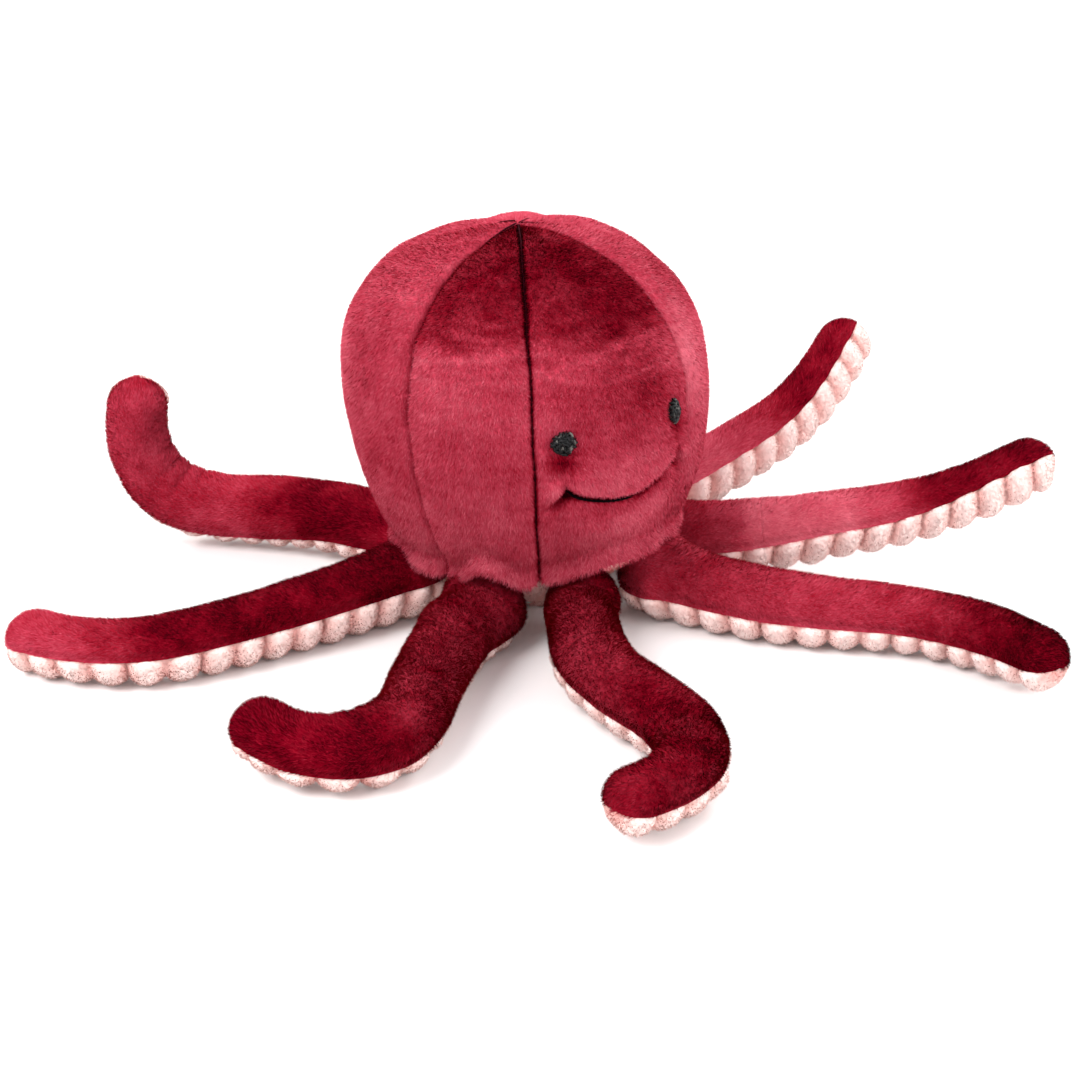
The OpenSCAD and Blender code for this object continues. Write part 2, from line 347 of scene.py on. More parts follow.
def pile_of(name, patch, materials, per_mm2, width, lift, spread, seed, mottle):
    """The pile as thin tapering blades that lean along the nap. lift is how steeply they stand and
    spread how far they stray from the nap, in degrees, and mottle how much they differ in shade."""
    rng = np.random.default_rng(seed)
    place = patch.scatter(per_mm2, rng)
    root = patch.sample(patch.points, place)
    normal = unit(patch.sample(patch.normal, place))
    nap = unit(patch.sample(patch.nap, place))
    shade = patch.sample(patch.shade, place)
    length = patch.sample(patch.pile, place) * rng.uniform(0.7, 1.1, len(root))
    count = len(root)
    side = np.cross(normal, nap)
    stray = np.radians(rng.normal(0, spread, count))[:, None]
    lean = np.radians(np.clip(rng.normal(lift, lift * 0.3, count), 6, 80))[:, None]
    flat = nap * np.cos(stray) + side * np.sin(stray)
    stem = flat * np.cos(lean) + normal * np.sin(lean)
    twist = np.radians(rng.normal(0, 35, count))[:, None]
    edge = unit(np.cross(stem, normal))
    edge = edge * np.cos(twist) + np.cross(stem, edge) * np.sin(twist)
    half = edge * width / 2
    tip = root + stem * length[:, None]
    root = root - normal * 0.15
    points = np.stack([root - half, root + half, tip], 1).reshape(-1, 3)
    points[:, 2] = np.maximum(points[:, 2], 0.15)
    # a blade whose tone falls below nought takes the first fibre, of painted shadow
    tone = np.clip(shade + rng.normal(0, mottle, count), -1 / (SHADES - 1), 1)
    face_material = np.round(tone * (SHADES - 1)) + 1
    piece = make_piece(name, points, np.arange(3 * count).reshape(-1, 3), materials, face_material)
    soft = unit(normal * 0.8 + stem * 0.35 + rng.normal(0, 0.12, (count, 3)))
    piece.data.normals_split_custom_set_from_vertices(np.repeat(soft, 3, 0).astype(np.float32))
    return piece


# ---- The head ----

LEAN_TO = unit(np.array([-0.046, 0.016, 0.0]))
LEAN = math.radians(2.8)
HEAD_R = 61.4
HEM_R = 45.8
HEM_H = 25.5
WIDEST_H = 82.0
CROWN_H = 134.4
LOWER = np.array([[HEM_R, HEM_H], [HEM_R + 9, HEM_H + 16.5], [HEAD_R, WIDEST_H - 18], [HEAD_R, WIDEST_H]])
UPPER = np.array([
    [HEAD_R, WIDEST_H], [HEAD_R, WIDEST_H + 0.57 * (CROWN_H - WIDEST_H)],
    [0.57 * HEAD_R, CROWN_H], [0, CROWN_H],
])
SEAMS = [-180, -126, -72, -30, 30, 72, 126, 180]
GORES = [
    "head_back_panel_left", "head_rear_side_panel_left", "head_side_panel_left", "head_face_panel",
    "head_side_panel_right", "head_rear_side_panel_right", "head_back_panel_right",
]
LEFT, FACE, RIGHT = 2, 3, 4
FACE_SIDES = SEAMS[FACE], SEAMS[FACE + 1]


def bezier(p, t):
    t = np.asarray(t, float)[:, None]
    return (1 - t) ** 3 * p[0] + 3 * t * (1 - t) ** 2 * p[1] + 3 * t * t * (1 - t) * p[2] + t**3 * p[3]


outline = np.concatenate([
    bezier(LOWER, np.linspace(-0.16, 1, 120)),
    bezier(UPPER, np.linspace(0, 1, 160))[1:],
])
outline_s = np.concatenate([[0], np.cumsum(np.linalg.norm(np.diff(outline, axis=0), axis=1))])
outline_s -= np.interp(HEM_H, outline[:60, 1], outline_s[:60])
OUTLINE_END = outline_s[-1]
outline_slope = unit(np.gradient(outline, axis=0))


def outline_at(s):
    """Radius, height, and the outward normal's radial and upward parts, at a distance up from the hem."""
    radius = np.interp(s, outline_s, outline[:, 0])
    height = np.interp(s, outline_s, outline[:, 1])
    out = np.interp(s, outline_s, outline_slope[:, 1])
    up = -np.interp(s, outline_s, outline_slope[:, 0])
    return radius, height, out, up


# How each tentacle lies, as in the CAD model: its turn from straight out, its rise and its roll, each in
# degrees at the root, middle and end; how much thicker than TIP_R its end is, in millimetres; and how far
# its root is from an even spacing, in degrees
LIE = [
    [[-24, 20, -70], [2, -3, 4], [6, 6, 0], 0, -4],
    [[-12, 13, -36], [-1, -1, 3], [0, 0, 0], 0, 0],
    [[-36, -23, -27], [5, 10, 30], [8, -14, -36], 0, 0],
    [[-46, -39, -18], [0, 19, 40], [-10, -32, -60], 0.5, 0],
    [[-8, -14, 8], [-1, -1, -1], [0, 0, 0], 0, 0],
    [[-8, 12, 32], [5, -3, 98], [-8, -40, -95], 1.4, 0],
    [[18, 9, -49], [-1, -1, -1], [14, 14, 8], 0, 0],
    [[7, 16, -113], [-1, 0, 0], [-22, -22, -10], 0, -2],
]
ARM_COUNT = 8
FIRST_ARM = -9.5


def arm_angle(k):
    return FIRST_ARM + (k - 1) * 360 / ARM_COUNT + LIE[k - 1][4]


# The hem's points between the tentacles and the arches over them: degrees round the head, height
HEM = np.array([
    [-180, 25.0], [-157, 29.0], [-135, 25.0], [-112, 29.0], [-90, 26.5], [-67, 24.4], [-50, 33.5],
    [-34, 25.2], [-5, 31.0], [37, 29.6], [45, 24.4], [54, 28.5], [66, 28.5], [74, 25.2], [84, 28.0],
    [113, 29.0], [136, 25.0], [158, 29.0], [180, 25.0],
])


def hem_height(angle):
    """The hem arches over each tentacle and comes to a point between them."""
    place = np.interp(angle, HEM[:, 0], np.arange(len(HEM)))
    low = np.clip(np.floor(place).astype(int), 0, len(HEM) - 2)
    return HEM[low, 1] + (HEM[low + 1, 1] - HEM[low, 1]) * ease(place - low)


RIDGE_SEAM = 30
EYE_ANGLE, EYE_H = 20.7, 79.5
SMILE_ANGLE, SMILE_H, SMILE_RISE = 20.0, 56.0, 6.5


def smile_height(angle):
    return SMILE_H + SMILE_RISE * (angle / SMILE_ANGLE) ** 2


def on_smile(angle):
    return ease((SMILE_ANGLE + 2.5 - np.abs(angle)) / 5)


def lip_height(angle):
    """Height of the edge of the cloth that sags over the smile's stitch."""
    angle = np.clip(angle, -SMILE_ANGLE - 3, SMILE_ANGLE + 3)
    share = angle / SMILE_ANGLE
    return smile_height(angle) + 1.9 + 1.5 * (1 - share**2) + 3.2 * ease(share)


def above_lip(angle, height):
    return height - lip_height(angle)


def lip_drop(angle, height):
    above = above_lip(angle, height)
    return 0.7 * on_smile(angle) * ease((above + 0.6) / 1.2) * np.exp(-((np.clip(above, 0, None) / 4) ** 2))


def by_smile_end(angle, height, side, arc):
    """How far from an end of the smile, and how far along and across the fold that runs down from it."""
    x = (side * angle - SMILE_ANGLE) * arc
    y = height - lip_height(side * SMILE_ANGLE) + 1.9
    return np.hypot(x, y), (x - y) / 1.414, (x + y) / 1.414


def relief(angle, s, seam_left, seam_right):
    """How far the head's surface stands out from its smooth outline."""
    radius, height, _, _ = outline_at(s)
    across = (angle - seam_left) / (seam_right - seam_left)
    arc = np.radians(1) * np.maximum(radius, 4)
    out = 1.3 * (1 - np.abs(2 * across - 1) ** 2.4) * np.clip(radius / 40, 0, 1)
    for seam, gap in ((seam_left, angle - seam_left), (seam_right, seam_right - angle)):
        gap = gap * arc
        deep = (0.45 if seam == RIDGE_SEAM else 1.0) * (0.15 + 0.85 * ease(radius / 32))
        out = out - deep * (2.1 * np.exp(-((gap / 1.3) ** 1.3)) + 1.0 * np.exp(-((gap / 7) ** 2)))
        if seam == RIDGE_SEAM:
            # the face panel is drawn in along this seam, and its neighbour stands over it
            face_side = seam == seam_right
            tall = hill(height, 88, 34)
            reach = 7 if face_side else 5
            swell = gap / reach * np.exp(1 - gap / reach)
            out = out + tall * (-1.8 if face_side else 1.4) * swell
    # The stuffing fills one side more than the other
    out += hill(angle, -118, 48) * (3.8 * hill(height, 113, 18) - 1.3 * hill(height, 72, 24))
    out += hill(angle, 60, 36) * (0.1 * hill(height, 114, 14) - 2.4 * hill(height, 84, 28))
    where = direction(angle) * radius[..., None] + np.array([0, 0, 1]) * height[..., None]
    out += 0.9 * lumps(where, 34, 3) + 0.35 * lumps(where, 12, 4)
    # The face: flat above the eyes, pulled in at the eyes and the smile
    out += -3.0 * hill(angle, 4, 22) * hill(height, 108, 20)
    for side in (-1, 1):
        gap = np.hypot((angle - side * EYE_ANGLE) * arc, height - EYE_H)
        out += -2.2 * np.exp(-((gap / 6.0) ** 2))
    above = above_lip(angle, height)
    lip = 2.3 * ease((above + 0.2) / 1.0) * np.exp(-((np.clip(above - 1.0, 0, None) / 9) ** 2))
    chin = 1.5 * hill(above, -13, 6)
    chin = chin - 2.2 * ease((1.0 - above) / 1.2) * np.exp(-np.clip(-above, 0, None) / 4.5)
    out += on_smile(angle) * (lip + chin)
    for side in (-1, 1):
        end, along, off = by_smile_end(angle, height, side, arc)
        out += -(2.8 + 0.8 * side) * np.exp(-((end / 1.9) ** 2))
        # a fold of cloth runs down and out from each end of the smile
        out += -3.0 * np.exp(-((off / 1.7) ** 2)) * ease((along + 3) / 4) * ease((12 - along) / 9)
        out += 2.0 * hill(off, 4.0, 3.0) * ease((along + 2) / 4) * ease((13 - along) / 8)
    # The hem turns out a little over the tentacles
    hem = outline_from_height(hem_height(angle))
    out += 2.4 * np.exp(-(((s - hem) / 3) ** 2)) - 0.9 * hill(s - hem, 7, 3.5)
    return out


def outline_from_height(height):
    return np.interp(height, outline[:200, 1], outline_s[:200])


def lean(point):
    """Tips the head a little about the middle of its hem."""
    reach = (point * LEAN_TO).sum(-1, keepdims=True)
    rise = point[..., 2:] - HEM_H
    tipped = reach * math.cos(LEAN) + rise * math.sin(LEAN)
    height = rise * math.cos(LEAN) - reach * math.sin(LEAN) + HEM_H
    point = point + (tipped - reach) * LEAN_TO
    point[..., 2:] = height
    return point


def head_point(angle, s, seam_left, seam_right, extra=0.0):
    radius, height, out, up = outline_at(s)
    stand = relief(angle, s, seam_left, seam_right) + extra
    place = direction(angle) * radius[..., None] + np.array([0, 0, 1]) * height[..., None]
    wander = 0.5 * lumps(place, 8, 9) * ease(radius / 30)
    point = direction(angle + np.degrees(wander / np.maximum(radius, 8))) * (radius + stand * out)[..., None]
    point[..., 2] = height + stand * up - lip_drop(angle, height)
    return lean(point)


def head_shade(index, angle, s, points):
    """How light the pile looks: it differs at random in patches and streaks, and by panel and over the face
    it holds painted shade and painted light, partly for the way the pile lies.
    """
    radius, height, _, _ = outline_at(s)
    arc = np.radians(1) * np.maximum(radius, 4)
    shade = 0.50 + 0.13 * lumps(points, 24, 11) + 0.07 * lumps(points, 8, 12)
    shade = shade + 0.05 * lumps(points, (2.4, 2.4, 9), 13) + 0.07 * lumps(points, (9, 9, 1.5), 14)
    ragged = height + 5 * lumps(points, (14, 14, 3), 15) + 3 * lumps(points, (6, 6, 1.2), 16)
    # painted shade on the tops of the face and of the panel left of it, partly for the way their pile lies
    if index in (LEFT, FACE):
        shade = shade - 0.34 * ease((ragged - 105) / 11)
        shade = shade - 0.10 * lumps(points, (10, 10, 0.9), 17) * hill(height, 103, 13)
    if index == FACE:
        # painted shade across the upper face, and painted light on the lip and on the chin's bulge
        shade = shade - 0.32 * hill(angle, 9, 22) * hill(ragged, 90, 14)
        shade = shade + 0.06 * hill(height, 66, 8) + 0.08 * hill(height, 45, 7)
        # painted shade in the hollow under each eye, in the pit at each end of the smile and on the shaded
        # side of each fold, with painted light on the fold's lit side
        for side, drop in ((-1, 6.0), (1, 3.5)):
            gap = np.hypot((angle - side * EYE_ANGLE - side) * arc, (height - EYE_H + drop) / 1.1)
            shade = shade - 0.50 * np.exp(-((gap / 4.6) ** 2))
            end, along, off = by_smile_end(angle, height, side, arc)
            shade = shade - (0.85 + 0.35 * side) * np.exp(-((end / 2.4) ** 2))
            fold = ease((along + 2) / 4) * ease((11 - along) / 9)
            shade = shade + fold * (0.14 * hill(off, 3.0, 2.0) - 0.55 * hill(off, -0.9, 1.8))
        # painted shadow under the lip, deeper towards the right, and a painted highlight along the lip's
        # edge
        below = -above_lip(angle, height)
        shade = shade - on_smile(angle) * (0.9 * hill(below, 1.9, 1.5) + 0.16 * hill(below, 5, 3))
        shade = shade - 0.6 * on_smile(angle) * ease(angle / 8) * hill(below, 3.2, 1.8)
        shade = shade + 0.06 * on_smile(angle) * hill(below, -1.5, 2)
    # painted light along the ridge beside the soft seam
    if index == RIGHT:
        shade = shade + 0.16 * hill(angle, 34, 14) * hill(height, 92, 34)
    return shade


def make_gore(node, index):
    left, right = SEAMS[index], SEAMS[index + 1]
    columns = 85 if index == FACE else 51
    rows = 330 if index == FACE else 170
    x = (1 - np.cos(np.linspace(0, math.pi, columns))) / 2
    x = 0.6 * x + 0.4 * np.linspace(0, 1, columns)
    angle = np.broadcast_to(left + (right - left) * x, (rows, columns))
    bottom = outline_from_height(hem_height(angle))
    v = np.linspace(0, 0.9965, rows)[:, None]
    s = bottom + (OUTLINE_END - bottom) * v
    points = head_point(angle, s, left, right)
    down = -np.gradient(points, axis=0)
    swirl = 0.5 * lumps(points, 22, 21)[..., None]
    nap = unit(down) + swirl * unit(np.gradient(points, axis=1))
    edge = np.exp(-(((s - bottom) / 4) ** 2))
    # painted shade in the seams' grooves: dark along the seams by the face, less so along the others, and
    # none along the soft seam
    radius = outline_at(s)[0]
    from_left = 99 if left == RIDGE_SEAM else angle - left
    from_right = 99 if right == RIDGE_SEAM else right - angle
    gap = np.minimum(from_left, from_right) * np.radians(1) * np.maximum(radius, 4)
    seam_shade = 0.8 if index in (LEFT, FACE) else 0.45 * ease(radius / 35)
    # painted light along the turned-out hem
    shade = head_shade(index, angle, s, points) + 0.07 * edge - seam_shade * np.exp(-((gap / 0.75) ** 2))
    shade = np.clip(shade, -0.2, 0.98)
    pile_length = (1.8 + 0.7 * edge) * (1 - 0.5 * np.exp(-((gap / 1.3) ** 2)))
    if index == FACE:
        pile_length *= 1 - 0.6 * on_smile(angle) * hill(above_lip(angle, outline_at(s)[1]), -1.2, 2.2)
    patch = Patch(points, np.array([0, 0, 75.0]), nap, shade, pile_length)
    skin = patch.shell(node + "_plush", plush_backing, 1.5)
    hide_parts(node)
    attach(skin, "head")
    pile = pile_of(node + "_pile", patch, plush_fibres, per_mm2=9.5, width=0.23, lift=36, spread=22,
                   seed=100 + index, mottle=0.115)
    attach(pile, "head")


for gore_index, gore_node in enumerate(GORES):
    make_gore(gore_node, gore_index)


def make_seam(number, angle):
    """The sewing thread at the bottom of a seam's groove."""
    s = np.linspace(outline_from_height(hem_height(angle)) + 0.5, OUTLINE_END * 0.993, 240)
    left = SEAMS[number - 1]
    line = head_point(np.full((1, 240), float(angle)), s[None], left, angle, extra=0.45)[0]
    line = line + 0.25 * np.stack([lumps(line, 3, seed) for seed in (71, 72, 73)], -1)
    points, faces = tube(line, radii=0.28, sides=7)
    seam = make_piece(f"head_seam_{number}", points, faces, [seam_thread])
    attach(seam, "head")


def surface_frame(angle, height):
    """Point, outward normal, way round and way up at a place on the face panel."""
    s = outline_from_height(np.array([[height]]))
    a = np.array([[float(angle)]])
    here = head_point(a, s, *FACE_SIDES)[0, 0]
    beside = head_point(a + 0.6, s, *FACE_SIDES)[0, 0]
    above = head_point(a, s + 0.6, *FACE_SIDES)[0, 0]
    round_way = unit(beside - here)
    up_way = unit(above - here)
    return here, unit(np.cross(round_way, up_way)), round_way, up_way


def tube(points, radii, sides):
    """Points and faces of a round tube along points. A sliver of each end stays open."""
    points = np.asarray(points, float)
    ahead = unit(np.gradient(points, axis=0))
    reference = np.array([0.13, 0.21, 1.0])
    one = unit(np.cross(ahead, reference))
    two = np.cross(ahead, one)
    turn = np.arange(sides) * 2 * math.pi / sides
    ring = np.cos(turn)[None, :, None] * one[:, None] + np.sin(turn)[None, :, None] * two[:, None]
    radii = np.broadcast_to(radii, len(points))
    mesh_points = (points[:, None] + radii[:, None, None] * ring).reshape(-1, 3)
    i, j = np.meshgrid(np.arange(len(points) - 1), np.arange(sides), indexing="ij")
    a, b = (i * sides + j).ravel(), (i * sides + (j + 1) % sides).ravel()
    faces = np.stack([a, b, b + sides, a + sides], -1)
    ends = []
    last = (len(points) - 1) * sides
    for j in range(1, sides // 2):
        ends.append([sides - j, j, j - 1, (sides - j + 1) % sides])
        ends.append([last + j - 1, last + j, last + sides - j, last + (sides - j + 1) % sides])
    return mesh_points, np.concatenate([faces, np.array(ends)])


def join_parts(parts):
    """Several lots of points and faces as one."""
    points, faces, count = [], [], 0
    for p, f in parts:
        points.append(p)
        faces.append(f + count)
        count += len(p)
    return np.concatenate(points), np.concatenate(faces)


GOLDEN_ANGLE = 2.39996


def make_eye(node, side):
    """An eye is a mound of short loops of thick thread, laid every way over each other."""
    rng = np.random.default_rng(40 + side)
    here, out, round_way, up_way = surface_frame(side * EYE_ANGLE, EYE_H)
    here = here + 0.5 * out
    eye_r, dome, count = 4.05, 2.2, 60
    parts, shades = [], []
    for i in range(count):
        reach = eye_r * 0.92 * math.sqrt((i + 0.5) / count)
        turn = i * GOLDEN_ANGLE
        middle = np.array([math.cos(turn), math.sin(turn)]) * reach
        way = rng.uniform(0, 2 * math.pi)
        step = np.array([math.cos(way), math.sin(way)])
        arc = np.linspace(-1, 1, 9)
        aside = np.array([-step[1], step[0]])
        flat = middle + step * arc[:, None] * 1.15 + aside * (0.7 * arc**2 - 0.35)[:, None]
        far = np.linalg.norm(flat, axis=1)
        flat *= np.minimum(1, eye_r / np.maximum(far, 1e-6))[:, None]
        far = np.minimum(far, eye_r)
        high = dome * np.sqrt(np.clip(1 - (far / (eye_r * 1.06)) ** 2, 0, 1)) + 0.75 * (1 - arc**2) - 0.4
        high = high + rng.uniform(-0.25, 0.3)
        line = here + flat[:, :1] * round_way + flat[:, 1:] * up_way + high[:, None] * out
        parts.append(tube(line, radii=0.40 * np.sqrt(np.clip(1.15 - arc**2, 0.1, 1)), sides=8))
        # most loops are black; one in seven takes the grey thread of painted glint
        shades.append(rng.choice([0, 0, 0, 0, 1, 1, 2]))
    rings = np.linspace(0.02, 1, 8)
    turn = np.linspace(0, 2 * math.pi, 25)
    cap = here + (eye_r * rings[:, None, None] * (
        np.cos(turn)[None, :, None] * round_way + np.sin(turn)[None, :, None] * up_way
    )) + (dome * np.sqrt(1 - 0.9 * rings**2) - 0.5)[:, None, None] * out
    parts.append((cap.reshape(-1, 3), grid_faces(8, 25)))
    shades.append(0)
    points, faces = join_parts(parts)
    face_material = np.repeat(shades, [len(f) for _, f in parts])
    eye = make_piece(node + "_stitches", points, faces, eye_threads_and_glints, face_material)
    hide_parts(node)
    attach(eye, "head")


for seam_number, seam_angle in enumerate(SEAMS):
    if seam_number and seam_angle != RIDGE_SEAM:
        make_seam(seam_number, seam_angle)
make_eye("eye_left", -1)
make_eye("eye_right", 1)


def make_smile():
    """The smile is two plies of thread twisted together, lying in the fold that it pulls in."""
    angles = np.linspace(-SMILE_ANGLE - 0.5, SMILE_ANGLE + 0.5, 121)
    # it shows at one end and slips under the lip towards the other
    s = outline_from_height(lip_height(angles) - 2.9 + 1.5 * ease((angles + 1) / 8))
    line = head_point(angles[None], s[None], *FACE_SIDES, extra=1.1)[0]
    ahead = unit(np.gradient(line, axis=0))
    out = unit(line - np.array([0, 0, 60.0]))
    side = np.cross(ahead, out)
    parts = []
    for ply in (0, math.pi):
        twist = np.linspace(0, 26 * math.pi, len(line)) + ply
        strand = line + 0.2 * (np.cos(twist)[:, None] * out + np.sin(twist)[:, None] * side)
        parts.append(tube(strand, radii=0.3, sides=6))
    points, faces = join_parts(parts)
    smile = make_piece("smile_thread_stitch", points, faces, [smile_black])
    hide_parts("smile_thread")
    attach(smile, "head")


make_smile()

# ---- The base panel and the head's stuffing ----

# The base panel is flat out to FLAT_R, curves up to BASE_R, and slopes up from there under the hem
FLAT_R, BASE_R = 12.0, 30.0
RIB_PITCH = 10.5


def make_base():
    rise = np.linspace(0, 1, 30)
    wall_h = HEM_H - 11
    profile = np.concatenate([
        np.stack([np.linspace(0.3, FLAT_R, 20), np.zeros(20)], -1),
        np.stack([FLAT_R + (BASE_R - FLAT_R) * rise, wall_h * rise**1.3], -1)[1:],
        np.stack([np.linspace(BASE_R, HEM_R - 4, 10), np.linspace(wall_h, HEM_H - 1.5, 10)], -1)[1:],
    ])
    turn = np.linspace(-180, 180, 181)
    radius = np.broadcast_to(profile[:, :1], (len(profile), len(turn)))
    points = direction(np.broadcast_to(turn, radius.shape)) * radius[..., None]
    points[..., 2] = profile[:, 1:]
    rib = np.abs(np.sin(math.pi * points[..., 0] / RIB_PITCH)) ** 0.6
    points[..., 2] += 1.6 * (1 - rib) * np.clip(1 - points[..., 2] / 6, 0, 1) + 0.25
    nap = np.cross(direction(np.broadcast_to(turn, radius.shape)), np.array([0, 0, 1.0]))
    # its pile is kept dark, darkest in the grooves between ribs: painted shade under the head
    patch = Patch(points, np.array([0, 0, 15.0]), nap, 0.05 + 0.3 * rib, 1.3)
    base = patch.shell("base_panel_corduroy", corduroy_backing, 1.5)
    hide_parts("head_base_panel")
    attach(base, "head")
    tufts = pile_of("base_panel_tufts", patch, pink_fibres, per_mm2=1.6, width=0.4, lift=45, spread=60,
                    seed=77, mottle=0.16)
    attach(tufts, "head")


def make_head_stuffing():
    turn = np.broadcast_to(np.linspace(-180, 180, 73), (40, 73))
    s = np.broadcast_to(np.linspace(2, OUTLINE_END * 0.995, 40)[:, None], (40, 73))
    points = head_point(turn, s, -181, 181, extra=-7.0)
    foot = points[:1].copy()
    foot[..., :2] *= 0.45
    foot[..., 2] = 4.0
    points = np.concatenate([foot, points])
    points = points + 0.7 * lumps(points, 7, 31)[..., None]
    patch = Patch(points, np.array([0, 0, 75.0]), np.gradient(points, axis=0))
    filling = patch.shell("head_filling", stuffing_fibre, 2.0)
    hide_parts("head_stuffing")
    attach(filling, "head")


make_base()
make_head_stuffing()

# ---- The tentacles ----

ROOT_R = 53.0
ARM_R = 13.1
TIP_R = 10.0
ARM_LEN = 130.0
HALF = ARM_LEN / 2
SPLIT = 34.0
# How light each tentacle's pile looks at five places from its root to its end: partly the way its pile lies,
# partly painted light and painted shade
ARM_SHADE = [
    [0.08, 0.14, 0.12, 0.11, 0.08], [0.32, 0.36, 0.34, 0.08, -0.03], [0.24, 0.72, 0.74, 0.08, -0.02],
    [0.66, 0.74, 0.48, -0.04, -0.03], [0.40, 0.40, 0.40, 0.40, 0.40], [0.06, -0.04, 0.36, 0.36, 0.38],
    [-0.02, -0.04, -0.01, 0.12, 0.46], [0.10, 0.22, 0.19, 0.02, -0.07],
]
# How much wider than round each tentacle is under the hem, how much narrower just outside it, how far its
# root lies to one side, and how far its ribs run aslant, the last two in millimetres
SPREAD = [0.04, 0.30, 0.10, 0.10, 0.10, 0.10, 0.14, 0.18]
NECK = [0.09, 0.0, 0.0, 0.0, 0.0, 0.0, 0.0, 0.0]
ASIDE = [1.7, 0.0, 0.0, 0.0, 0.0, 0.0, 0.0, -2.8]
SLANT = [0.0, 0.0, 4.5, 3.0, 0.0, 0.0, 0.0, 0.0]


def along(values, s):
    first = values[0] + (values[1] - values[0]) * ease(s / HALF)
    second = values[1] + (values[2] - values[1]) * ease(s / HALF - 1)
    return np.where(s < HALF, first, second)


class Arm:
    """A tentacle's centre line, and the vectors along, up from and across it."""

    def __init__(self, k):
        self.k = k
        self.turn, self.rise, self.roll, thicker, _ = LIE[k - 1]
        self.end_r = TIP_R + thicker
        self.stations = np.arange(0, ARM_LEN + 0.5)
        moves = self.vectors(self.stations[:-1] + 0.5)[0]
        start = direction(np.array(float(arm_angle(k)))) * ROOT_R + np.array([0, 0, ARM_R])
        self.line = np.concatenate([[start], start + np.cumsum(moves, axis=0)])

    def vectors(self, s):
        heading = np.radians(arm_angle(self.k) + along(self.turn, s))
        rise = np.radians(along(self.rise, s))
        roll = np.radians(along(self.roll, s))
        ahead = np.stack(
            [np.sin(heading) * np.cos(rise), -np.cos(heading) * np.cos(rise), np.sin(rise)], -1)
        up = np.stack([-np.sin(heading) * np.sin(rise), np.cos(heading) * np.sin(rise), np.cos(rise)], -1)
        across = np.cross(ahead, up)
        cos, sin = np.cos(roll)[..., None], np.sin(roll)[..., None]
        return ahead, up * cos + across * sin, across * cos - up * sin

    def radius(self, s):
        """The fabric's distance from the centre line."""
        even = ARM_R + (self.end_r - ARM_R) * np.clip(s / ARM_LEN, 0, 1)
        return even - 0.5

    def centre(self, s):
        clipped = np.clip(s, 0, ARM_LEN)
        base = np.stack([np.interp(clipped, self.stations, self.line[:, a]) for a in range(3)], -1)
        return base + (s - clipped)[..., None] * self.vectors(clipped)[0]

    def bend(self, s):
        """Turning per millimetre, with the side it turns to as an angle round the tentacle."""
        ahead0, _, _ = self.vectors(np.clip(s - 3, 0, ARM_LEN))
        ahead1, up, across = self.vectors(np.clip(s + 3, 0, ARM_LEN))
        turn = (ahead1 - ahead0) / 6
        return (turn * up).sum(-1), (turn * across).sum(-1)


def tube_stations(arm, s0, s1, tip, root):
    """Distances and thickness shares from s0 to s1, with a round end where asked."""
    s = np.linspace(s0, s1, int(s1 - s0) + 1)
    share = np.ones_like(s)
    if root:
        a = np.radians(np.linspace(86, 0, 20))
        s = np.concatenate([s0 - 7 - 13 * np.sin(a), np.linspace(s0 - 7, s0, 8)[1:-1], s])
        share = np.concatenate([np.cos(a), np.ones(6), share])
    if tip:
        a = np.radians(np.linspace(0, 88, 26))[1:]
        s = np.concatenate([s, s1 + arm.radius(ARM_LEN) * np.sin(a)])
        share = np.concatenate([share, np.cos(a)])
    return s, share


